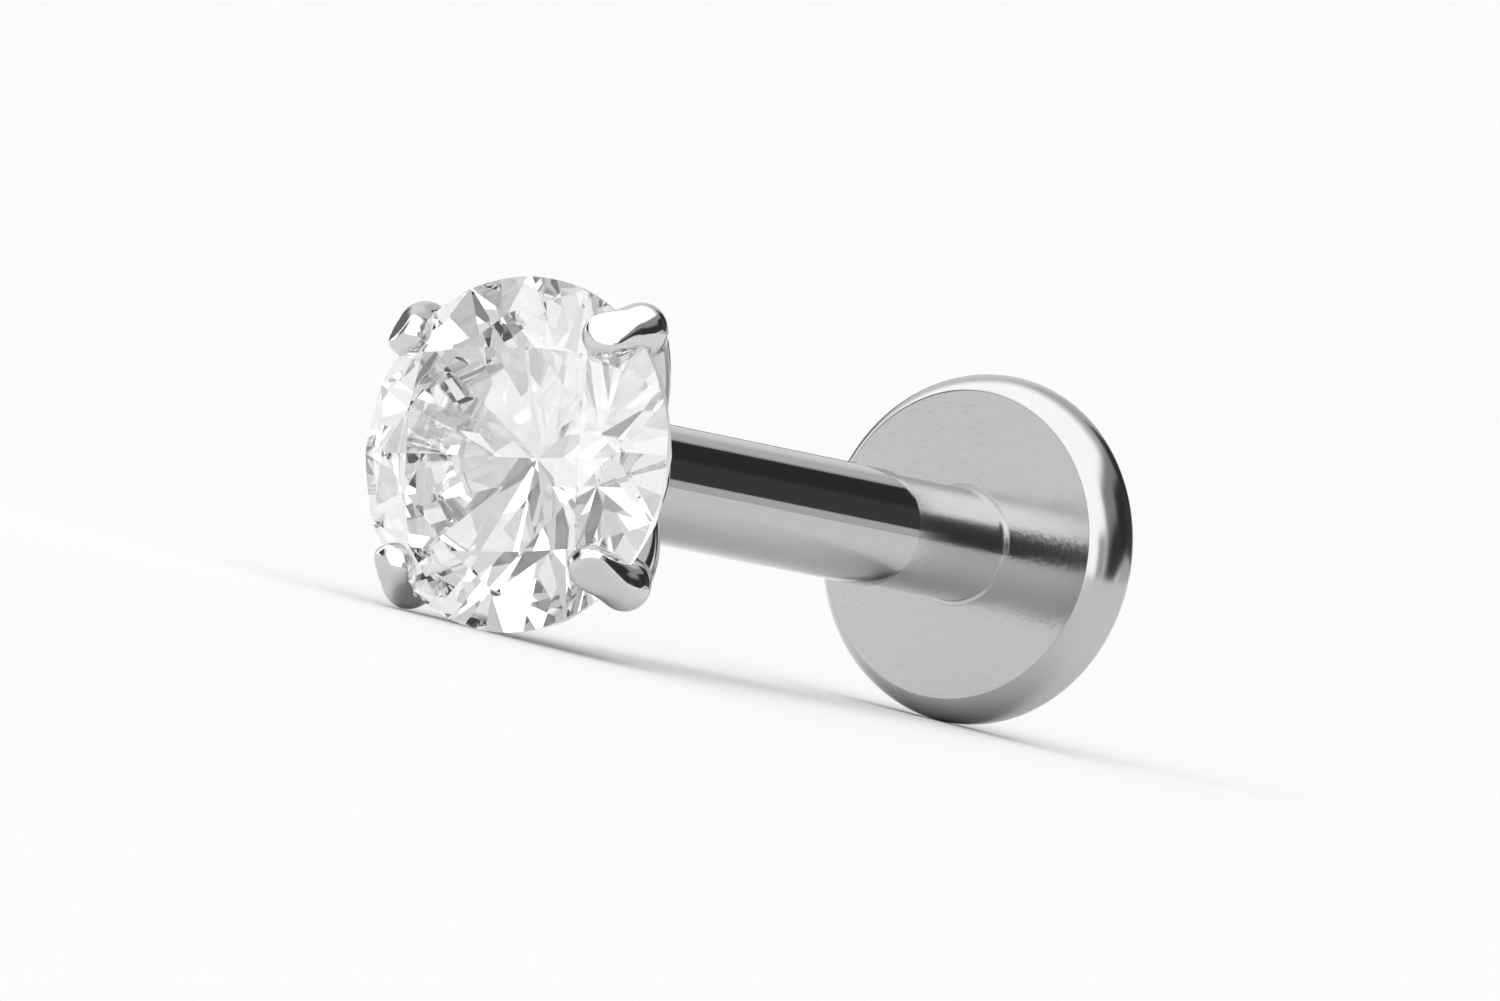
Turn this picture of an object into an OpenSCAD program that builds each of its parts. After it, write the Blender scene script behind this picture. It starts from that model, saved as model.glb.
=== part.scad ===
// Labret stud: a round brilliant-cut stone in four claws, on a straight post with a flat back disc.
// Millimetres. The stud lies on its side: its axis runs along X, the stone towards -X, the disc towards
// +X, and the stone's girdle and the disc's rim touch the surface at Z = 0.
// Each piece is drawn along its own +Z, with 0 at the back of the disc, and laid down afterwards.

/* [Stone] */
// Diameter of the stone at its girdle
stone_d = 3.55; // [3.2:0.05:4.5]
// Diameter of the circle through the table's corners
table_d = 2.2; // [1.8:0.05:2.5]
// Tilt of the main crown facets from the girdle's plane, in degrees
crown_angle = 32; // [28:0.5:36]
// Tilt of the main pavilion facets from the girdle's plane, in degrees
pavilion_angle = 40.75; // [39:0.25:42]
// Height of the girdle's plain band
girdle_h = 0.1; // [0.06:0.01:0.16]
// How far a star facet reaches from the table's corner towards the girdle, as a share
star_reach = 0.4; // [0.3:0.05:0.55]
// How far a lower half facet reaches from the girdle towards the culet, as a share
half_reach = 0.77; // [0.7:0.01:0.82]

/* [Claws] */
// How far outside the girdle's edge a claw's shoulder is centred
shoulder_out = 0.025; // [0:0.005:0.05]
// Diameter of a claw at its shoulder, beside the girdle
shoulder_d = 0.53; // [0.46:0.01:0.54]
// Diameter of a claw at its tip, over the crown
tip_d = 0.47; // [0.4:0.01:0.5]
// How far a claw's tip leans in from its shoulder
tip_lean = 0.17; // [0.1:0.01:0.2]
// Height of a claw's tip above its shoulder
tip_rise = 0.455; // [0.36:0.005:0.56]
// Depth of a claw's shoulder below the middle of the girdle
shoulder_drop = 0.12; // [0.06:0.01:0.16]
// Tilt of the flat cap that is filed on a claw's tip, in degrees from the girdle's plane
cap_tilt = 50; // [46:1:54]
// Depth of the cap's flat below the tip's round
cap_cut = 0.1; // [0.06:0.01:0.12]
// Diameter of a claw where it grows from the cup
root_d = 0.42; // [0.36:0.01:0.44]
// How far inside the cup's edge a claw's root is centred
root_in = 0.05; // [0.03:0.01:0.15]
// How far a claw's arm bows outwards at its middle
arm_bow = 0.1; // [0.08:0.01:0.12]
// Turn of the claws round the axis, in degrees, from the side that faces up
claw_turn = 56.5; // [55:0.5:57]

/* [Cup under the claws] */
// Height of the cup's straight band, as wide as the post
cup_band_h = 0.1; // [0.05:0.05:0.4]
// Height of the cup's cone
cup_cone_h = 0.1; // [0.05:0.05:0.3]
// How far the cup's cone draws in from the cup's edge to its top
cup_draw = 0.25; // [0.15:0.05:0.35]
// Gap between the lowest point of the stone's seat and the top of the cup
culet_gap = 0.02; // [0.01:0.01:0.3]

/* [Post] */
// Diameter of the polished barrel
post_d = 1.2; // [1:0.1:1.6]
// Length of the polished barrel
barrel_l = 4.7; // [2:0.05:8]
// Length of the satin neck
neck_l = 1.65; // [0.8:0.05:2.5]
// Step in radius from the barrel down to the neck
neck_step = 0.03; // [0.01:0.01:0.06]
// Chamfer on each end of the barrel
barrel_chamfer = 0.02; // [0.01:0.005:0.03]

/* [Hidden joints] */
// Diameter of the plain stem and the plain spigot inside the barrel
stem_d = 0.6; // [0.4:0.05:0.7]
// Length of the stem inside the top of the barrel
stem_l = 1; // [0.5:0.1:1.5]
// Length of the spigot inside the lower end of the barrel
spigot_l = 0.8; // [0.5:0.1:1.2]
// Gap round a hidden joint, and between faces that meet
fit_gap = 0.01; // [0.005:0.005:0.02]
// Gap between the stone and the claws' seats
stone_gap = 0.01; // [0.005:0.005:0.02]

/* [Back disc] */
// Diameter of the disc at its widest
disc_d = 3.55; // [3:0.05:5]
// Thickness of the disc
disc_t = 0.6; // [0.5:0.05:0.9]
// Width of the rounded rim, from the edge of the flat face to the widest part
rim_w = 0.205; // [0.1:0.005:0.3]
// Depth of the disc's widest part below its flat face
rim_h = 0.45; // [0.35:0.01:0.48]
// How far the rim draws in from its widest part to the back of the disc
back_draw = 0.095; // [0.05:0.005:0.14]
// Width of the small raised ring round the foot of the neck
ring_w = 0.05; // [0.03:0.01:0.1]
// Height of the small raised ring
ring_h = 0.03; // [0.02:0.01:0.06]

/* [Hidden] */
$fn = 96;
// A little extra depth where one solid is cut by or sunk into another
bite = 0.05;
// How much slimmer a claw's rods are than its balls, so that each rod meets its ball in a clear edge
rod_in = 0.012;

main_count = 8;
main_step = 360 / main_count;
half_turn = main_step / 4;
claw_count = 4;
claw_step = 360 / claw_count;

stone_r = stone_d / 2;
table_r = table_d / 2;
girdle_top = girdle_h / 2;
star_r = table_r + star_reach * (stone_r - table_r);
crown_h = tan(crown_angle) * (stone_r - table_r);
star_z = tan(crown_angle) * (stone_r - star_r * cos(main_step / 2));
star_angle = atan((crown_h - star_z) / (star_r - table_r * cos(main_step / 2)));
upper_slope = star_z / (stone_r - star_r);
upper_angle = atan(upper_slope / cos(half_turn));
pavilion_h = tan(pavilion_angle) * stone_r;
half_end_r = stone_r * (1 - half_reach);
half_end_z = tan(pavilion_angle) * (stone_r - half_end_r * cos(main_step / 2));
lower_slope = half_end_z / (stone_r - half_end_r);
lower_angle = atan(lower_slope / cos(half_turn));

neck_d = post_d - 2 * neck_step;
neck_top = disc_t + neck_l;
barrel_bottom = neck_top + fit_gap;
barrel_top = barrel_bottom + barrel_l;
cup_bottom = barrel_top + fit_gap;
cup_top = cup_bottom + cup_band_h + cup_cone_h;
// A claw's arm starts level with the cup's top, or higher where a thick root has to clear the barrel
root_z = max(cup_top, cup_bottom + root_d / 2 + fit_gap);
// The stone's seat between the claws is its outline round the axis with a gap all over
seat_r = stone_r + stone_gap;
seat_z = girdle_top + stone_gap;
seat_depth = seat_z + lower_slope * seat_r;
girdle_z = cup_top + culet_gap + seat_depth;
shoulder_z = girdle_z - shoulder_drop;
shoulder_reach = stone_r + shoulder_out;
root_reach = post_d / 2 - root_in;
elbow_d = (root_d + shoulder_d) / 2;
elbow_z = (root_z + shoulder_z) / 2;
elbow_reach = (root_reach + shoulder_reach) / 2 + arm_bow;
lower_tilt = atan((elbow_reach - root_reach) / (elbow_z - root_z));
lower_l = (elbow_z - root_z) / cos(lower_tilt);
upper_tilt = atan((shoulder_reach - elbow_reach) / (shoulder_z - elbow_z));
upper_l = (shoulder_z - elbow_z) / cos(upper_tilt);
tip_z = shoulder_z + tip_rise;
tip_reach = shoulder_reach - tip_lean;
beak_tilt = atan(tip_lean / tip_rise);
beak_l = tip_rise / cos(beak_tilt);

disc_r = disc_d / 2;
widest_z = disc_t - rim_h;
rim_r = (rim_h * rim_h + rim_w * rim_w) / (2 * rim_w);
foot_r = (widest_z * widest_z + back_draw * back_draw) / (2 * back_draw);

cap_reach = tip_d / 2 - cap_cut;
cap_r = sqrt(tip_d * tip_d / 4 - cap_reach * cap_reach);
cap_edge = cap_reach * cos(cap_tilt) + cap_r * sin(cap_tilt);
tip_top = tip_z + (cap_reach < tip_d / 2 * cos(cap_tilt) ? cap_edge : tip_d / 2);
stone_top = girdle_z + girdle_top + crown_h;
stud_l = max(tip_top, stone_top);
rest_r = max(stone_r, disc_r);

// Lays a piece down with its own +Z towards -X and its own +X upwards
module lie_down() {
    translate([stud_l / 2, 0, rest_r]) rotate([0, -90, 0]) children();
}

// Planes of the stone's facets: the side that each faces, its tilt from the girdle's plane towards that
// side, and the distance from the axis and the height at which it passes
half_foot = stone_r * cos(half_turn);
FACETS = [
    for (i = [0 : main_count - 1]) each [
        [i * main_step, crown_angle, stone_r, girdle_top],
        [(i + 0.5) * main_step, star_angle, star_r, girdle_top + star_z],
        [i * main_step - half_turn, upper_angle, half_foot, girdle_top],
        [i * main_step + half_turn, upper_angle, half_foot, girdle_top],
        [i * main_step, 180 - pavilion_angle, stone_r, -girdle_top],
        [i * main_step - half_turn, 180 - lower_angle, half_foot, -girdle_top],
        [i * main_step + half_turn, 180 - lower_angle, half_foot, -girdle_top]
    ]
];

// Everything beyond one facet's plane
module beyond_facet(facet) {
    span = 3 * stone_d;
    rotate([0, 0, facet[0]]) translate([facet[2], 0, facet[3]]) rotate([0, facet[1], 0])
        translate([-span / 2, -span / 2, 0]) cube(span);
}

// Cuts the facets one after another from the rough stone that it is given
module cut_facets(count = len(FACETS)) {
    if (count == 0) {
        children();
    } else {
        difference() {
            cut_facets(count - 1) children();
            beyond_facet(FACETS[count - 1]);
        }
    }
}

// Round brilliant: a cylinder cut to shape by its facets, with the claws over its half facets
module stone() {
    color([0.93, 0.95, 0.97, 0.6])
    lie_down()
    translate([0, 0, girdle_z]) rotate([0, 0, claw_turn + main_step / 2])
    cut_facets()
    translate([0, 0, -girdle_top - pavilion_h]) cylinder(h = pavilion_h + girdle_h + crown_h, r = stone_r);
}

// The room that the stone takes between the claws: its outline round the axis with a gap all over
module stone_seat() {
    translate([0, 0, girdle_z])
    rotate_extrude()
    polygon([
        [0, -seat_depth],
        [seat_r, -seat_z],
        [seat_r, seat_z],
        [0, seat_z + upper_slope * seat_r]
    ]);
}

// Everything beyond the flat cap of a claw
module beyond_cap() {
    span = 2 * stone_r;
    translate([tip_reach, 0, tip_z]) rotate([0, cap_tilt, 0])
        translate([-span / 2, -span / 2, cap_reach]) cube(span);
}

// One claw: a bowed arm from the cup, a round shoulder beside the girdle and a beak over the crown
module claw() {
    translate([root_reach, 0, root_z]) {
        sphere(d = root_d);
        rotate([0, lower_tilt, 0]) cylinder(h = lower_l, d1 = root_d - rod_in, d2 = elbow_d - rod_in);
    }
    translate([elbow_reach, 0, elbow_z]) {
        sphere(d = elbow_d);
        rotate([0, upper_tilt, 0]) cylinder(h = upper_l, d1 = elbow_d - rod_in, d2 = shoulder_d - rod_in);
    }
    translate([shoulder_reach, 0, shoulder_z]) {
        sphere(d = shoulder_d);
        rotate([0, -beak_tilt, 0]) cylinder(h = beak_l, d1 = shoulder_d - rod_in, d2 = tip_d - rod_in);
    }
    translate([tip_reach, 0, tip_z]) sphere(d = tip_d);
}

// A claw with its flat cap
module capped_claw() {
    difference() {
        claw();
        beyond_cap();
    }
}

// Cup, four claws and the plain stem, one solid
module prong_setting() {
    color([0.8, 0.81, 0.83])
    lie_down()
    difference() {
        union() {
            translate([0, 0, cup_bottom]) cylinder(h = cup_band_h, d = post_d);
            translate([0, 0, cup_bottom + cup_band_h])
                cylinder(h = cup_cone_h, d1 = post_d, d2 = post_d - 2 * cup_draw);
            translate([0, 0, cup_bottom - stem_l]) cylinder(h = stem_l + bite, d = stem_d);
            for (i = [0 : claw_count - 1])
                rotate([0, 0, claw_turn + i * claw_step]) capped_claw();
        }
        stone_seat();
    }
}

// Polished barrel, with a blind bore in each end and a small chamfer on each edge
module post_barrel() {
    bore_d = stem_d + 2 * fit_gap;
    chamfer_d = post_d - 2 * barrel_chamfer;
    color([0.75, 0.76, 0.78])
    lie_down()
    translate([0, 0, barrel_bottom])
    difference() {
        union() {
            cylinder(h = barrel_chamfer, d1 = chamfer_d, d2 = post_d);
            translate([0, 0, barrel_chamfer]) cylinder(h = barrel_l - 2 * barrel_chamfer, d = post_d);
            translate([0, 0, barrel_l - barrel_chamfer])
                cylinder(h = barrel_chamfer, d1 = post_d, d2 = chamfer_d);
        }
        translate([0, 0, -bite]) cylinder(h = bite + spigot_l, d = bore_d);
        translate([0, 0, barrel_l - stem_l]) cylinder(h = stem_l + bite, d = bore_d);
    }
}

// Half section of the disc: a flat face and back, a rounded rim and a small draw to the back
module disc_section() {
    square([disc_r - rim_r, disc_t]);
    intersection() {
        translate([disc_r - rim_r, widest_z]) circle(r = rim_r);
        translate([disc_r - rim_r, widest_z]) square([rim_r, rim_h]);
    }
    square([disc_r - foot_r, widest_z]);
    intersection() {
        translate([disc_r - foot_r, widest_z]) circle(r = foot_r);
        translate([disc_r - foot_r, 0]) square([foot_r, widest_z]);
    }
}

// Disc, raised ring, satin neck and the plain spigot, one solid
module back_disc() {
    color([0.78, 0.78, 0.79])
    lie_down() {
        rotate_extrude() disc_section();
        translate([0, 0, disc_t]) cylinder(h = ring_h, d1 = neck_d + 2 * ring_w, d2 = neck_d);
        translate([0, 0, disc_t - bite]) cylinder(h = neck_l + bite, d = neck_d);
        translate([0, 0, neck_top - bite]) cylinder(h = bite + spigot_l, d = stem_d);
    }
}

stone();
prong_setting();
post_barrel();
back_disc();
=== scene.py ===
"""Looks of the labret stud: a cut stone in four polished claws, a polished post and a satin back disc.

The metal pieces and the stone are drawn in millimetres along the stud's own axis, z = 0 at the back of the
disc and z rising towards the stone, and are then laid into the frame, where the axis runs along X.
"""

import math
from collections import namedtuple

import bmesh
import bpy
import numpy as np
from mathutils import Matrix, Vector


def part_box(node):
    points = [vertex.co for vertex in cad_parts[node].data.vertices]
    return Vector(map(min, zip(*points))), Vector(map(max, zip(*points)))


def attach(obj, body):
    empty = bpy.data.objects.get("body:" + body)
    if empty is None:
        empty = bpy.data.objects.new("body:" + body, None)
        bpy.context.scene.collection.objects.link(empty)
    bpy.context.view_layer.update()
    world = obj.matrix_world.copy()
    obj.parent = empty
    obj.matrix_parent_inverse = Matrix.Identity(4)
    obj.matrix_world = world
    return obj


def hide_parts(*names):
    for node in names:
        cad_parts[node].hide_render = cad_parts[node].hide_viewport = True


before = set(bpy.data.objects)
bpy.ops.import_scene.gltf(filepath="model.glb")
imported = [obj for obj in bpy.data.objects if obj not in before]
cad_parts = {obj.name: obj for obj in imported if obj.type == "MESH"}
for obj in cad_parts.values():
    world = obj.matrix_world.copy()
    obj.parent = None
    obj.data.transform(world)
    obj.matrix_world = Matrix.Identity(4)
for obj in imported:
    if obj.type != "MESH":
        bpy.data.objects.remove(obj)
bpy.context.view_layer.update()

MM = 0.001
TAU = 2 * math.pi

# Sizes in millimetres and angles, as the solids have them
STONE_R = 1.775
TABLE_R = 1.1
CROWN_ANGLE = math.radians(32)
PAVILION_ANGLE = math.radians(40.75)
GIRDLE_TOP = 0.05
STAR_REACH = 0.4
HALF_REACH = 0.77
FACET_COUNT = 8
FACET_STEP = TAU / FACET_COUNT
GIRDLE_SIDES = 256
STONE_GAP = 0.01

CLAW_TURN = math.radians(56.5)
CLAW_STEP = TAU / 4
SHOULDER_REACH = 1.8
SHOULDER_R = 0.265
SHOULDER_DROP = 0.12
TIP_R = 0.235
TIP_LEAN = 0.17
TIP_RISE = 0.455
CAP_TILT = math.radians(50)
CAP_CUT = 0.1
ROOT_R = 0.21
ROOT_REACH = 0.55
ARM_BOW = 0.1

POST_R = 0.6
STEM_R = 0.3
STEM_L = 1.0
SPIGOT_L = 0.8
FIT_GAP = 0.01
BARREL_L = 4.7
NECK_L = 1.65
NECK_R = 0.57
CUP_BAND_H = 0.1
CUP_CONE_H = 0.1
CUP_TOP_R = 0.35
CULET_GAP = 0.02

DISC_R = 1.775
DISC_T = 0.6
RIM_W = 0.205
RIM_H = 0.45
BACK_DRAW = 0.095
RING_W = 0.05
RING_H = 0.03

# The stone's star facets end at one ring, its lower half facets at another
MAIN_EDGE = math.cos(FACET_STEP / 2)
STAR_R = TABLE_R + STAR_REACH * (STONE_R - TABLE_R)
STAR_Z = math.tan(CROWN_ANGLE) * (STONE_R - STAR_R * MAIN_EDGE)
UPPER_SLOPE = STAR_Z / (STONE_R - STAR_R)
CROWN_H = math.tan(CROWN_ANGLE) * (STONE_R - TABLE_R)
HALF_END_R = STONE_R * (1 - HALF_REACH)
HALF_END_Z = math.tan(PAVILION_ANGLE) * (STONE_R - HALF_END_R * MAIN_EDGE)
LOWER_SLOPE = HALF_END_Z / (STONE_R - HALF_END_R)
PAVILION_H = math.tan(PAVILION_ANGLE) * STONE_R

# The claws' roots above the cup's bottom, and the depth of the stone's seat below the girdle's middle
ROOT_RISE = max(CUP_BAND_H + CUP_CONE_H, ROOT_R + FIT_GAP)
SEAT_DEPTH = GIRDLE_TOP + STONE_GAP + LOWER_SLOPE * (STONE_R + STONE_GAP)

# Places along the stud's axis, in millimetres from the back of the disc
NECK_TOP = DISC_T + NECK_L
BARREL_BOTTOM = NECK_TOP + FIT_GAP
BARREL_TOP = BARREL_BOTTOM + BARREL_L
CUP_BOTTOM = BARREL_TOP + FIT_GAP
GIRDLE_Z = CUP_BOTTOM + CUP_BAND_H + CUP_CONE_H + CULET_GAP + SEAT_DEPTH

# The stud's axis in the frame, and the matrix that lays a drawn piece into it
DISC_LOW, DISC_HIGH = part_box("back_disc")
AXIS_Z = (DISC_LOW.z + DISC_HIGH.z) / 2
BACK_X = DISC_HIGH.x
LAY = Matrix(((0, 0, -MM, BACK_X), (0, MM, 0, 0), (MM, 0, 0, AXIS_Z), (0, 0, 0, 1)))


# Camera: the angles of the photograph, then distances in metres

VIEW_TO_AXIS = math.radians(33)
CAMERA_RISE = math.radians(1.2)
AXIS_FALL = math.radians(11.6)
CAMERA_FAR = 0.4
FRAME_W = 0.015
CLIP_START = 0.01
CLIP_END = 20.0
SENSOR_W = 36.0
# Where it looks, in millimetres: from the disc's back along the axis, then to the right and up
MIDDLE = 4.55
AIM_RIGHT = 0.016
AIM_UP = 0.014


def add_camera():
    """The camera at the photograph's angle to the stud, a little above the floor, with a long lens."""
    turn = -math.asin(math.cos(VIEW_TO_AXIS) / math.cos(CAMERA_RISE))
    back = Vector((math.sin(turn) * math.cos(CAMERA_RISE), -math.cos(turn) * math.cos(CAMERA_RISE),
                   math.sin(CAMERA_RISE)))
    right = Vector((math.cos(turn), math.sin(turn), 0))
    up = back.cross(right)
    roll = AXIS_FALL + math.atan2(up.x, right.x)
    across = right * math.cos(roll) + up * math.sin(roll)
    upward = up * math.cos(roll) - right * math.sin(roll)
    middle = Vector((BACK_X - MIDDLE * MM, 0, AXIS_Z))
    middle += across * AIM_RIGHT * MM + upward * AIM_UP * MM
    data = bpy.data.cameras.new("camera")
    data.sensor_width = SENSOR_W
    data.lens = SENSOR_W * CAMERA_FAR / FRAME_W
    data.clip_start = CLIP_START
    data.clip_end = CLIP_END
    camera = bpy.data.objects.new("camera", data)
    place = middle + back * CAMERA_FAR
    camera.matrix_world = Matrix((
        (across.x, upward.x, back.x, place.x),
        (across.y, upward.y, back.y, place.y),
        (across.z, upward.z, back.z, place.z),
        (0, 0, 0, 1)))
    bpy.context.collection.objects.link(camera)
    bpy.context.scene.camera = camera


# Node helpers

def node(tree, kind, settings=None, **values):
    """A new node, with its settings and the values of its inputs by name."""
    made = tree.nodes.new(kind)
    for name, value in (settings or {}).items():
        setattr(made, name, value)
    for name, value in values.items():
        made.inputs[name].default_value = value
    return made


def feed(tree, socket, term):
    """Gives a socket a number, or the output of another node."""
    if isinstance(term, (int, float)):
        socket.default_value = term
    else:
        tree.links.new(term, socket)


def math_node(tree, operation, *terms):
    """The output of a math node over outputs or numbers."""
    made = node(tree, "ShaderNodeMath", {"operation": operation})
    for place, term in enumerate(terms):
        feed(tree, made.inputs[place], term)
    return made.outputs[0]


def choose(tree, chance, one, other):
    """One value where chance is 1, the other where it is 0."""
    pick = node(tree, "ShaderNodeMix", {"data_type": "FLOAT"})
    for name, term in (("Factor", chance), ("A", other), ("B", one)):
        feed(tree, pick.inputs[name], term)
    return pick.outputs["Result"]


# Studio

# The floor's radius is in metres
FLOOR_R = 2.0
FLOOR_SIDES = 96
FLOOR_SHADE = 0.87
FLOOR_ROUGHNESS = 0.9
FLOOR_SHEEN = 0.1

# The soft boxes and dark flags round the stud. A direction's first angle says how far it is from the
# disc's end of the axis, and its second how far it is round the axis, from the camera's side over the
# top to the far side, both in degrees. A panel covers a stretch of each, leans by slant degrees round
# for each degree away beyond LEAN_FROM, fades over soft degrees at its edges, and covers what is listed
# before it. The first table is what the metal shows, the second what comes through the stone, and the
# last is seen only by way of two pieces of metal, from the depth SECOND_BOUNCE on.
Panel = namedtuple("Panel", "away_from away_to round_from round_to slant soft shine")
LEAN_FROM = 35
METAL_ROOM = 0.62
METAL_PANELS = [
    Panel(62, 185, -20, 215, 0.0, 10, 1.65),
    Panel(100, 185, 125, 215, 0.0, 14, 0.72),
    Panel(88, 126, 138, 168, 0.0, 5, 0.05),
    Panel(-5, 70, 128, 166, 0.0, 8, 0.8),
    Panel(10, 60, 166, 200, 0.0, 5, 0.15),
    Panel(97, 112, -20, 24, 0.0, 4, 0.5),
    Panel(36, 96, 22, 84, 0.6, 6, 0.33),
    Panel(36, 68, 23, 67, 0.6, 4, 0.04),
    Panel(64, 90, 19, 54, 0.6, 8, 0.04),
    Panel(12, 30, 100, 124, 0.0, 1.5, 0.04),
    Panel(10, 44, 15, 99, 0.0, 1.5, 0.065),
    Panel(10, 44, 57, 99, 0.0, 8, 0.036),
]
STONE_ROOM = 0.62
STONE_PANELS = [
    Panel(92, 132, 18, 74, 0.0, 4, 2.2),
    Panel(128, 150, 48, 84, 0.0, 4, 0.2),
    Panel(136, 172, 92, 140, 0.0, 4, 1.9),
    Panel(98, 128, 88, 128, 0.0, 4, 0.3),
    Panel(100, 126, 136, 176, 0.0, 4, 2.0),
    Panel(60, 90, 40, 95, 0.0, 4, 0.15),
]
SECOND_BOUNCE = 2.5
TWICE_PANELS = [
    Panel(116, 190, -20, 56, 0.0, 3, 0.02),
]


def between(tree, angle, low, high, soft):
    """One where an angle is between low and high, fading to nothing over soft on both sides."""
    edges = []
    for edge in (low, high):
        step = node(tree, "ShaderNodeMapRange", {"interpolation_type": "SMOOTHSTEP"})
        step.inputs["From Min"].default_value = edge - soft
        step.inputs["From Max"].default_value = edge + soft
        tree.links.new(angle, step.inputs["Value"])
        edges.append(step.outputs[0])
    return math_node(tree, "SUBTRACT", *edges)


def shine_of(tree, away, turn, room, panels):
    """How bright the surroundings are in a direction: the room, and the panels that cover it."""
    shine = room
    for panel in panels:
        lean = math_node(tree, "MULTIPLY", math_node(tree, "SUBTRACT", away, LEAN_FROM), panel.slant)
        leaning = math_node(tree, "ADD", turn, lean)
        mask = math_node(tree, "MULTIPLY",
                         between(tree, away, panel.away_from, panel.away_to, panel.soft),
                         between(tree, leaning, panel.round_from, panel.round_to, panel.soft))
        shine = choose(tree, mask, panel.shine, shine)
    return shine


def add_world():
    """Soft boxes and dark flags round the stud for what its metal and stone reflect; plain white behind."""
    world = bpy.data.worlds.new("studio")
    world.use_nodes = True
    tree = world.node_tree
    tree.nodes.clear()
    way = node(tree, "ShaderNodeTexCoord")
    split = node(tree, "ShaderNodeSeparateXYZ")
    tree.links.new(way.outputs["Generated"], split.inputs[0])
    x, y, z = split.outputs
    from_camera_side = math_node(tree, "ARCTAN2", z, math_node(tree, "MULTIPLY", y, -1.0))
    turn = math_node(tree, "DEGREES", from_camera_side)
    away = math_node(tree, "DEGREES", math_node(tree, "ARCCOSINE", x))
    seen = node(tree, "ShaderNodeLightPath")
    for_metal = shine_of(tree, away, turn, METAL_ROOM, METAL_PANELS)
    for_stone = shine_of(tree, away, turn, STONE_ROOM, STONE_PANELS)
    for_corner = shine_of(tree, away, turn, for_metal, TWICE_PANELS)
    twice = math_node(tree, "GREATER_THAN", seen.outputs["Ray Depth"], SECOND_BOUNCE)
    shine = choose(tree, twice, for_corner, for_metal)
    shine = choose(tree, seen.outputs["Is Transmission Ray"], for_stone, shine)
    lit = node(tree, "ShaderNodeBackground", Color=(1, 1, 1, 1))
    tree.links.new(shine, lit.inputs["Strength"])
    plain = node(tree, "ShaderNodeBackground", Color=(1, 1, 1, 1), Strength=1.0)
    either = node(tree, "ShaderNodeMixShader")
    tree.links.new(seen.outputs["Is Camera Ray"], either.inputs[0])
    tree.links.new(lit.outputs[0], either.inputs[1])
    tree.links.new(plain.outputs[0], either.inputs[2])
    out = node(tree, "ShaderNodeOutputWorld")
    tree.links.new(either.outputs[0], out.inputs["Surface"])
    world.cycles.sampling_method = "NONE"
    bpy.context.scene.world = world


def add_floor():
    """A wide plain pale floor."""
    form = bmesh.new()
    bmesh.ops.create_circle(form, cap_ends=True, segments=FLOOR_SIDES, radius=FLOOR_R)
    mesh = bpy.data.meshes.new("floor")
    form.to_mesh(mesh)
    form.free()
    floor = bpy.data.objects.new("floor", mesh)
    bpy.context.collection.objects.link(floor)
    surface = bpy.data.materials.new("floor_white")
    surface.use_nodes = True
    shader = surface.node_tree.nodes["Principled BSDF"]
    shader.inputs["Base Color"].default_value = (FLOOR_SHADE,) * 3 + (1,)
    shader.inputs["Roughness"].default_value = FLOOR_ROUGHNESS
    shader.inputs["Specular IOR Level"].default_value = FLOOR_SHEEN
    mesh.materials.append(surface)


# Mesh helpers

TURNED_SIDES = 256
# Places on a profile that agree to this many digits of a millimetre are one place
SAME_PLACE = 6


def finish_piece(mesh, name, node_name, materials):
    """Lays a drawn mesh into the frame as the piece that stands for a node."""
    mesh.transform(LAY)
    piece = bpy.data.objects.new(name, mesh)
    bpy.context.collection.objects.link(piece)
    for material in materials:
        mesh.materials.append(material)
    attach(piece, "root")
    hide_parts(node_name)
    return piece


def line(start, end, steps=1, material=0):
    """A straight stretch of a profile: points with their normals, and a material."""
    run = np.array(end, float) - np.array(start, float)
    normal = np.array([run[1], -run[0]]) / np.hypot(*run)
    share = np.linspace(0, 1, steps + 1)[:, None]
    points = np.array(start) + share * run
    return points, np.repeat(normal[None], steps + 1, 0), material


def arc(centre, radius, start, end, steps, material=0):
    """A round stretch of a profile, from one angle to another in degrees."""
    angle = np.radians(np.linspace(start, end, steps + 1))
    way = np.stack([np.cos(angle), np.sin(angle)], 1)
    return np.array(centre) + radius * way, way, material


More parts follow.
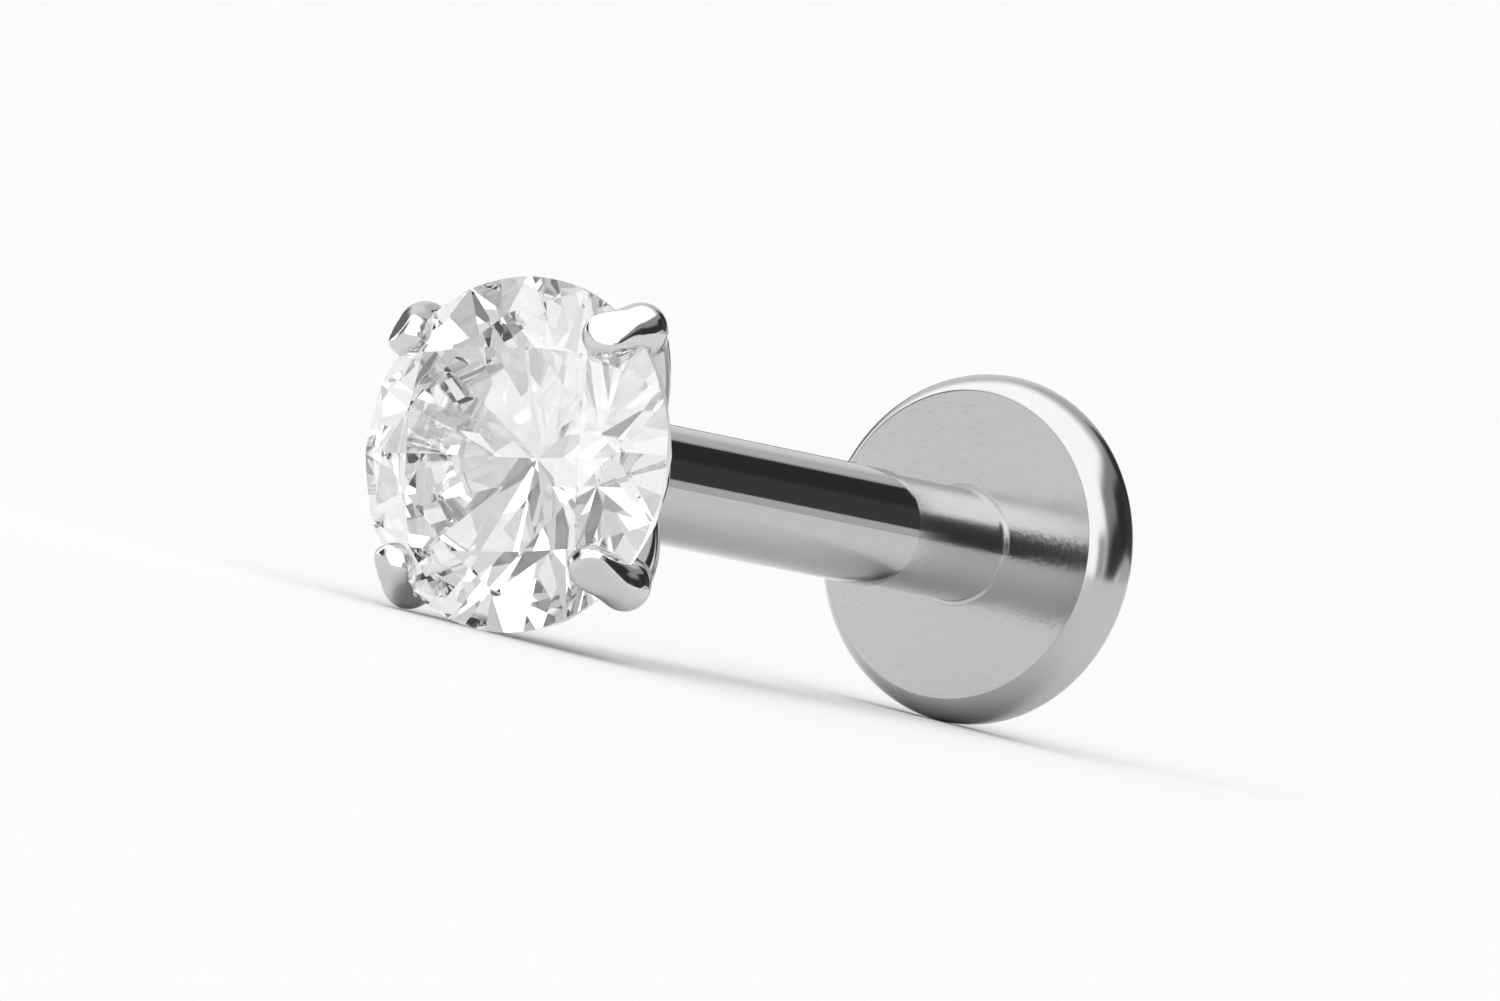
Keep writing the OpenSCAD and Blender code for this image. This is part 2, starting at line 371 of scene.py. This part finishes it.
def revolve(name, stretches):
    """A closed solid of revolution round z, from stretches that run up the outside, with exact normals."""
    turn = np.arange(TURNED_SIDES) * TAU / TURNED_SIDES
    places, rings, faces, normals, slots = [], {}, [], [], []

    def ring(r, z):
        """The first point of the ring of points at a place on the profile, made once."""
        key = (round(float(r), SAME_PLACE), round(float(z), SAME_PLACE))
        if key not in rings:
            rings[key] = len(places)
            places.extend((r * math.cos(a), r * math.sin(a), z) for a in (turn if key[0] > 0 else turn[:1]))
        return rings[key], key[0] > 0

    for points, across, material in stretches:
        for step in range(len(points) - 1):
            low, low_wide = ring(*points[step])
            high, high_wide = ring(*points[step + 1])
            for side in range(TURNED_SIDES):
                after = (side + 1) % TURNED_SIDES
                corners = [
                    (low + side * low_wide, side, step),
                    (low + after * low_wide, after, step),
                    (high + after * high_wide, after, step + 1),
                    (high + side * high_wide, side, step + 1),
                ]
                if not low_wide:
                    corners = [corners[0], corners[2], corners[3]]
                elif not high_wide:
                    corners = corners[:3]
                faces.append([corner[0] for corner in corners])
                slots.append(material)
                for _, column, row in corners:
                    out, up = across[row]
                    normals.append((out * math.cos(turn[column]), out * math.sin(turn[column]), up))
    mesh = bpy.data.meshes.new(name)
    mesh.from_pydata(places, [], faces)
    mesh.polygons.foreach_set("material_index", slots)
    mesh.polygons.foreach_set("use_smooth", [True] * len(faces))
    mesh.normals_split_custom_set(normals)
    return mesh


def add_turned(name, node_name, stretches, materials):
    """A turned piece: a revolved profile, laid into the frame."""
    return finish_piece(revolve(name, stretches), name, node_name, materials)


# Materials

STEEL_BLUE = 0.005
GRAIN_FADE = 0.6
POLISH_PER_M = 9000
POLISH_DETAIL = 3.0
SATIN_SMEAR = 0.75
QUARTER_TURN = 0.25
LINES_PER_M = 22000
LINE_BREAKS = 12.0
LINE_DETAIL = 2.0
LINE_DEPTH = 1.3e-6
SATIN_SPREAD = 0.2
STONE_COLOUR = (0.985, 0.99, 1.0, 1)
STONE_IOR = 2.17


def steel(name, tone, roughness):
    """The start of a steel: its material, its node tree and its shader."""
    made = bpy.data.materials.new(name)
    made.use_nodes = True
    shader = made.node_tree.nodes["Principled BSDF"]
    shader.inputs["Base Color"].default_value = (tone, tone, tone + STEEL_BLUE, 1)
    shader.inputs["Metallic"].default_value = 1.0
    shader.inputs["Roughness"].default_value = roughness
    return made, made.node_tree, shader


def add_grain(tree, shader, place, detail, depth):
    """A fine noise that raises the surface by depth at the most; gives back the noise."""
    grain = node(tree, "ShaderNodeTexNoise", Scale=1.0, Detail=detail, Roughness=GRAIN_FADE)
    tree.links.new(place, grain.inputs["Vector"])
    raised = node(tree, "ShaderNodeBump", Strength=1.0, Distance=depth)
    tree.links.new(grain.outputs["Fac"], raised.inputs["Height"])
    tree.links.new(raised.outputs[0], shader.inputs["Normal"])
    return grain.outputs["Fac"]


def polished_steel(name, tone, roughness, grain_depth):
    """Steel with the faint marks of its polish."""
    made, tree, shader = steel(name, tone, roughness)
    where = node(tree, "ShaderNodeTexCoord")
    stretch = node(tree, "ShaderNodeMapping")
    stretch.inputs["Scale"].default_value = (POLISH_PER_M,) * 3
    tree.links.new(where.outputs["Object"], stretch.inputs["Vector"])
    add_grain(tree, shader, stretch.outputs[0], POLISH_DETAIL, grain_depth)
    return made


def turned_satin(name, tone, roughness):
    """Satin steel off a lathe: fine lines round the axis, which smear what it reflects across them."""
    made, tree, shader = steel(name, tone, roughness)
    shader.inputs["Anisotropic"].default_value = SATIN_SMEAR
    shader.inputs["Anisotropic Rotation"].default_value = QUARTER_TURN
    round_axis = node(tree, "ShaderNodeTangent", {"direction_type": "RADIAL", "axis": "X"})
    tree.links.new(round_axis.outputs[0], shader.inputs["Tangent"])
    where = node(tree, "ShaderNodeTexCoord")
    split = node(tree, "ShaderNodeSeparateXYZ")
    tree.links.new(where.outputs["Object"], split.inputs[0])
    x, y, z = split.outputs
    up = math_node(tree, "SUBTRACT", z, AXIS_Z)
    squares = [math_node(tree, "MULTIPLY", side, side) for side in (y, up)]
    reach = math_node(tree, "SQRT", math_node(tree, "ADD", *squares))
    turn = math_node(tree, "ARCTAN2", up, y)
    lines = node(tree, "ShaderNodeCombineXYZ")
    spacing = ((x, LINES_PER_M), (reach, LINES_PER_M), (turn, LINE_BREAKS))
    for socket, (place, per_unit) in zip(lines.inputs, spacing):
        tree.links.new(math_node(tree, "MULTIPLY", place, per_unit), socket)
    grain = add_grain(tree, shader, lines.outputs[0], LINE_DETAIL, LINE_DEPTH)
    spread = node(tree, "ShaderNodeMapRange")
    spread.inputs["To Min"].default_value = roughness * (1 - SATIN_SPREAD)
    spread.inputs["To Max"].default_value = roughness * (1 + SATIN_SPREAD)
    tree.links.new(grain, spread.inputs["Value"])
    tree.links.new(spread.outputs[0], shader.inputs["Roughness"])
    return made


def clear_stone(name, roughness):
    """Colourless cubic zirconia."""
    made = bpy.data.materials.new(name)
    made.use_nodes = True
    shader = made.node_tree.nodes["Principled BSDF"]
    shader.inputs["Base Color"].default_value = STONE_COLOUR
    shader.inputs["Roughness"].default_value = roughness
    shader.inputs["IOR"].default_value = STONE_IOR
    shader.inputs["Transmission Weight"].default_value = 1.0
    return made


# Stone

CUT_WELD = 1e-5
UPRIGHT = 0.01
FACET_ROUGHNESS = 0.0
GIRDLE_ROUGHNESS = 0.3
# The materials of the stone, in the order that they are given
FACETS, GIRDLE = range(2)
# A kind of facet: how far round from a main facet it stands, its slope from flat, the distance from the
# axis and the height of a place on it, and 1 for the crown or -1 for the pavilion
Facet = namedtuple("Facet", "turn tilt reach z side")


def facet_planes():
    """The planes of the brilliant cut: a point and an outward normal each, z from the girdle's middle."""
    # A half facet stands this far to each side of its main facet
    half_turn = FACET_STEP / 4
    star_angle = math.atan((CROWN_H - STAR_Z) / (STAR_R - TABLE_R * MAIN_EDGE))
    upper_angle = math.atan(UPPER_SLOPE / math.cos(half_turn))
    lower_angle = math.atan(LOWER_SLOPE / math.cos(half_turn))
    foot = STONE_R * math.cos(half_turn)
    kinds = [
        Facet(0.0, CROWN_ANGLE, STONE_R, GIRDLE_TOP, 1),
        Facet(FACET_STEP / 2, star_angle, STAR_R, GIRDLE_TOP + STAR_Z, 1),
        Facet(-half_turn, upper_angle, foot, GIRDLE_TOP, 1),
        Facet(half_turn, upper_angle, foot, GIRDLE_TOP, 1),
        Facet(0.0, PAVILION_ANGLE, STONE_R, -GIRDLE_TOP, -1),
        Facet(-half_turn, lower_angle, foot, -GIRDLE_TOP, -1),
        Facet(half_turn, lower_angle, foot, -GIRDLE_TOP, -1),
    ]
    up = Vector((0, 0, 1))
    planes = []
    for number in range(FACET_COUNT):
        for kind in kinds:
            angle = kind.turn + number * FACET_STEP + CLAW_TURN + FACET_STEP / 2
            out = Vector((math.cos(angle), math.sin(angle), 0))
            normal = out * math.sin(kind.tilt) + up * kind.side * math.cos(kind.tilt)
            planes.append((out * kind.reach + up * kind.z, normal))
    return planes


def add_stone():
    """The round brilliant: a cylinder cut by the planes of its facets."""
    top, bottom = GIRDLE_TOP + CROWN_H, -GIRDLE_TOP - PAVILION_H
    form = bmesh.new()
    bmesh.ops.create_cone(form, cap_ends=True, segments=GIRDLE_SIDES, radius1=STONE_R, radius2=STONE_R,
                          depth=top - bottom)
    bmesh.ops.translate(form, verts=form.verts, vec=(0, 0, (top + bottom) / 2))
    for point, normal in facet_planes():
        every = form.verts[:] + form.edges[:] + form.faces[:]
        cut = bmesh.ops.bisect_plane(form, geom=every, dist=CUT_WELD, plane_co=point, plane_no=normal,
                                     clear_outer=True)
        rim = [e for e in cut["geom_cut"] if isinstance(e, bmesh.types.BMEdge)]
        if rim:
            bmesh.ops.edgeloop_fill(form, edges=rim)
    bmesh.ops.recalc_face_normals(form, faces=form.faces)
    for face in form.faces:
        face.smooth = False
        face.material_index = GIRDLE if abs(face.normal.z) < UPRIGHT else FACETS
    bmesh.ops.translate(form, verts=form.verts, vec=(0, 0, GIRDLE_Z))
    mesh = bpy.data.meshes.new("cut_stone")
    form.to_mesh(mesh)
    form.free()
    return finish_piece(mesh, "cut_stone", "stone",
                        [clear_stone("stone_facets", FACET_ROUGHNESS),
                         clear_stone("stone_girdle", GIRDLE_ROUGHNESS)])


# Setting

CELL = 0.025
NET_MARGIN = 3 * CELL
SETTLE_STEPS = 6
LEAST_SLOPE = 0.05
SLOPE_STEP = 0.001
SEAT_GAP = 0.006
# How far the setting's forms melt into one another, and how far its edges are rounded
CUP_ROUND = 0.06
CUP_EDGE = 0.02
CLAW_MELT = 0.1
CAP_EDGE = 0.04
ROOT_MELT = 0.12
SEAT_EDGE = 0.035
STEM_SINK = 0.05
# Here z is measured from the girdle's middle
CUP_FLOOR = CUP_BOTTOM - GIRDLE_Z


def smooth_least(a, b, size):
    """The lesser of two distances, blended over size where they are close."""
    share = np.clip(0.5 + 0.5 * (b - a) / size, 0, 1)
    return b + (a - b) * share - size * share * (1 - share)


def smooth_most(a, b, size):
    """The greater of two distances, blended over size where they are close."""
    return -smooth_least(-a, -b, size)


def round_cone(p, a, b, r1, r2):
    """Distance to a rod from a to b whose radius goes from r1 to r2."""
    a, b = np.array(a, float), np.array(b, float)
    run = b - a
    share = np.clip(((p - a) @ run) / (run @ run), 0, 1)
    gap = np.linalg.norm(p - a - share[..., None] * run, axis=-1)
    return gap - (r1 + (r2 - r1) * share)


def bowed_rod(p, a, b, bow, r1, r2):
    """Distance to a rod from a to b that is bent away from the axis by bow at its middle."""
    a, b = np.array(a, float), np.array(b, float)
    half = np.linalg.norm(b - a) / 2
    along = (b - a) / (2 * half)
    out = np.array([along[2], 0, -along[0]])
    rise = bow * along[2]
    bend = (half ** 2 + rise ** 2) / (2 * rise)
    centre = (a + b) / 2 - out * (bend - rise)
    spread = math.atan(half / (bend - rise))
    angle = np.clip(np.arctan2((p - centre) @ along, (p - centre) @ out), -spread, spread)
    nearest = centre + bend * (np.sin(angle)[:, None] * along + np.cos(angle)[:, None] * out)
    share = (angle + spread) / (2 * spread)
    return np.linalg.norm(p - nearest, axis=-1) - (r1 + (r2 - r1) * share)


def cup_distance(radius, z):
    """Distance to the cup: a band as wide as the post, and a cone on it."""
    band_top = CUP_FLOOR + CUP_BAND_H
    draw = math.atan((POST_R - CUP_TOP_R) / CUP_CONE_H)
    cone = (radius - POST_R) * math.cos(draw) + (z - band_top) * math.sin(draw)
    wall = np.maximum(radius - POST_R, cone)
    return smooth_most(smooth_most(wall, z - (band_top + CUP_CONE_H), CUP_ROUND), CUP_FLOOR - z, CUP_EDGE)


def claw_distance(p):
    """Distance to the claw over the x axis: a bowed arm, and a beak with a flat cap filed on its tip."""
    root = (ROOT_REACH, 0, CUP_FLOOR + ROOT_RISE)
    shoulder = (SHOULDER_REACH, 0, -SHOULDER_DROP)
    tip = (SHOULDER_REACH - TIP_LEAN, 0, TIP_RISE - SHOULDER_DROP)
    # Two rods that share a ball swell it by a quarter of the blend when they melt into one another
    ball_r = SHOULDER_R - CLAW_MELT / 4
    arm = bowed_rod(p, root, shoulder, ARM_BOW, ROOT_R, ball_r)
    beak = round_cone(p, shoulder, tip, ball_r, TIP_R)
    over_tip = (p[:, 0] - tip[0]) * math.sin(CAP_TILT) + (p[:, 2] - tip[2]) * math.cos(CAP_TILT)
    return smooth_most(smooth_least(arm, beak, CLAW_MELT), over_tip - (TIP_R - CAP_CUT), CAP_EDGE)


def seat_distance(radius, z):
    """Distance to the stone's outline round the axis, negative inside."""
    upper, lower = math.atan(UPPER_SLOPE), math.atan(LOWER_SLOPE)
    over = (z - GIRDLE_TOP) * math.cos(upper) + (radius - STONE_R) * math.sin(upper)
    under = (-z - GIRDLE_TOP) * math.cos(lower) + (radius - STONE_R) * math.sin(lower)
    return np.maximum(np.maximum(over, under), radius - STONE_R) - SEAT_GAP


def setting_distance(p):
    """Distance to the surface of the cup, its claws and its stem, negative inside."""
    radius = np.hypot(p[:, 0], p[:, 1])
    z = p[:, 2]
    turn = np.arctan2(p[:, 1], p[:, 0]) - CLAW_TURN
    turn = turn - CLAW_STEP * np.round(turn / CLAW_STEP)
    turned = np.stack([radius * np.cos(turn), radius * np.sin(turn), z], 1)
    form = smooth_least(cup_distance(radius, z), claw_distance(turned), ROOT_MELT)
    form = smooth_most(form, -seat_distance(radius, z), SEAT_EDGE)
    stem = np.maximum(radius - STEM_R, np.maximum(z - CUP_FLOOR - STEM_SINK, CUP_FLOOR - STEM_L - z))
    return np.minimum(form, stem)


def gradient(distance, points):
    """How a distance changes along each axis."""
    parts = []
    for axis in range(3):
        shift = np.zeros(3)
        shift[axis] = SLOPE_STEP
        parts.append((distance(points + shift) - distance(points - shift)) / (2 * SLOPE_STEP))
    return np.stack(parts, 1)


def settle(distance, points):
    """Points moved onto the surface where distance is zero."""
    for _ in range(SETTLE_STEPS):
        slope = gradient(distance, points)
        size = np.maximum((slope ** 2).sum(1), LEAST_SLOPE)
        points = points - (distance(points) / size)[:, None] * slope
    return points


def net_faces(inside, index):
    """A quad, facing outwards, across each edge of the grid that runs through the surface."""
    faces = []
    for axis in range(3):
        one, two = (axis + 1) % 3, (axis + 2) % 3
        here, there = [slice(None)] * 3, [slice(None)] * 3
        here[axis], there[axis] = slice(0, -1), slice(1, None)
        change = inside[tuple(here)].astype(int) - inside[tuple(there)].astype(int)
        for sign in (1, -1):
            edge = np.argwhere(change == sign)
            for across in (one, two):
                edge = edge[(edge[:, across] > 0) & (edge[:, across] < index.shape[across])]
            quad = []
            for back_one, back_two in ((0, 0), (1, 0), (1, 1), (0, 1)):
                cell = edge.copy()
                cell[:, one] -= back_one
                cell[:, two] -= back_two
                quad.append(index[tuple(cell.T)])
            quad = np.stack(quad, 1)
            faces.append(quad if sign == 1 else quad[:, ::-1])
    return np.concatenate(faces)


def surface_net(distance, low, high):
    """The points, quads and normals of the surface where distance is zero, found in a grid of cells."""
    counts = [math.ceil((end - start) / CELL) + 1 for start, end in zip(low, high)]
    ticks = [start + CELL * np.arange(count) for start, count in zip(low, counts)]
    grid = np.stack(np.meshgrid(*ticks, indexing="ij"), -1)
    inside = (distance(grid.reshape(-1, 3)) < 0).reshape(counts)
    halves = (slice(0, -1), slice(1, None))
    corners = [inside[i, j, k].astype(int) for i in halves for j in halves for k in halves]
    filled = sum(corners)
    mixed = (filled > 0) & (filled < len(corners))
    cells = np.argwhere(mixed)
    index = np.full(mixed.shape, -1)
    index[mixed] = np.arange(len(cells))
    points = settle(distance, np.array(low) + CELL * (cells + 0.5))
    slope = gradient(distance, points)
    normals = slope / np.linalg.norm(slope, axis=1)[:, None]
    return points, net_faces(inside, index), normals


def add_setting(material):
    """The cup and its four claws, cast in one and polished, seated round the stone."""
    reach = SHOULDER_REACH + SHOULDER_R + NET_MARGIN
    low = (-reach, -reach, CUP_FLOOR - STEM_L - NET_MARGIN)
    high = (reach, reach, TIP_RISE - SHOULDER_DROP + TIP_R + NET_MARGIN)
    points, faces, normals = surface_net(setting_distance, low, high)
    points = points + np.array([0, 0, GIRDLE_Z])
    mesh = bpy.data.meshes.new("claw_setting")
    mesh.from_pydata(points.tolist(), [], faces.tolist())
    mesh.polygons.foreach_set("use_smooth", [True] * len(mesh.polygons))
    mesh.normals_split_custom_set_from_vertices(normals.tolist())
    return finish_piece(mesh, "claw_setting", "prong_setting", [material])


# Post and disc

BARREL_EDGE = 0.005
RIM_LIP = 0.03
RING_BEAD = 0.008
RING_STEP = 0.008
# The materials of the disc, in the order that they are given
SATIN, RIM, POLISHED = range(3)


def add_barrel(material):
    """The polished barrel with its rounded ends and its two blind bores."""
    edge = BARREL_EDGE
    bore = STEM_R + FIT_GAP
    low, high = BARREL_BOTTOM, BARREL_TOP
    stretches = [
        line((0, low + SPIGOT_L), (bore, low + SPIGOT_L)),
        line((bore, low + SPIGOT_L), (bore, low)),
        line((bore, low), (POST_R - edge, low)),
        arc((POST_R - edge, low + edge), edge, -90, 0, steps=6),
        line((POST_R, low + edge), (POST_R, high - edge), steps=24),
        arc((POST_R - edge, high - edge), edge, 0, 90, steps=6),
        line((POST_R - edge, high), (bore, high)),
        line((bore, high), (bore, high - STEM_L)),
        line((bore, high - STEM_L), (0, high - STEM_L)),
    ]
    return add_turned("polished_barrel", "post_barrel", stretches, [material])


def add_disc(satin, rim, polished):
    """The disc with its polished rim, its raised ring, the satin neck and the hidden spigot."""
    # The rim is an arc out to the widest place, an arc from there up and a small round lip
    widest = DISC_T - RIM_H
    foot_r = (widest ** 2 + BACK_DRAW ** 2) / (2 * BACK_DRAW)
    rim_r = (RIM_H ** 2 + RIM_W ** 2) / (2 * RIM_W)
    foot_end = -math.degrees(math.asin(widest / foot_r))
    lip_r = DISC_R - rim_r + math.sqrt((rim_r - RIM_LIP) ** 2 - (RIM_H - RIM_LIP) ** 2)
    lip_start = math.degrees(math.asin((RIM_H - RIM_LIP) / (rim_r - RIM_LIP)))
    ring = NECK_R + RING_W
    ring_edge = (ring - RING_STEP / 2, DISC_T + RING_STEP)
    bead_edge = (NECK_R + RING_BEAD, DISC_T + RING_H / 2)
    stretches = [
        line((0, 0), (DISC_R - BACK_DRAW, 0), steps=6, material=SATIN),
        arc((DISC_R - foot_r, widest), foot_r, foot_end, 0, steps=12, material=RIM),
        arc((DISC_R - rim_r, widest), rim_r, 0, lip_start, steps=24, material=RIM),
        arc((lip_r, DISC_T - RIM_LIP), RIM_LIP, lip_start, 90, steps=6, material=RIM),
        line((lip_r, DISC_T), (ring, DISC_T), steps=8, material=SATIN),
        line((ring, DISC_T), ring_edge, material=POLISHED),
        line(ring_edge, bead_edge, steps=2, material=SATIN),
        line(bead_edge, (NECK_R, DISC_T + RING_H), material=POLISHED),
        line((NECK_R, DISC_T + RING_H), (NECK_R, NECK_TOP), steps=12, material=SATIN),
        line((NECK_R, NECK_TOP), (STEM_R, NECK_TOP)),
        line((STEM_R, NECK_TOP), (STEM_R, NECK_TOP + SPIGOT_L)),
        line((STEM_R, NECK_TOP + SPIGOT_L), (0, NECK_TOP + SPIGOT_L)),
    ]
    return add_turned("satin_disc", "back_disc", stretches, [satin, rim, polished])


# The studio, then the pieces

add_camera()
add_world()
add_floor()
polished = polished_steel("polished_steel", tone=0.56, roughness=0.04, grain_depth=2e-8)
# The claws get the same polished steel with a lighter tone: painted light that whitens their caps and arms.
bright = polished_steel("claw_steel_painted_light", tone=0.7, roughness=0.04, grain_depth=2e-8)
rim = polished_steel("rim_steel", tone=0.56, roughness=0.15, grain_depth=6e-8)
satin = turned_satin("satin_steel", tone=0.63, roughness=0.17)
add_setting(bright)
add_barrel(polished)
add_disc(satin, rim, polished)
add_stone()

# How often light may bounce: in all, off metal and through the stone

MOST_BOUNCES = 24
METAL_BOUNCES = 16
STONE_BOUNCES = 20
scene = bpy.context.scene
scene.view_settings.view_transform = "Standard"
scene.cycles.max_bounces = MOST_BOUNCES
scene.cycles.glossy_bounces = METAL_BOUNCES
scene.cycles.transmission_bounces = STONE_BOUNCES
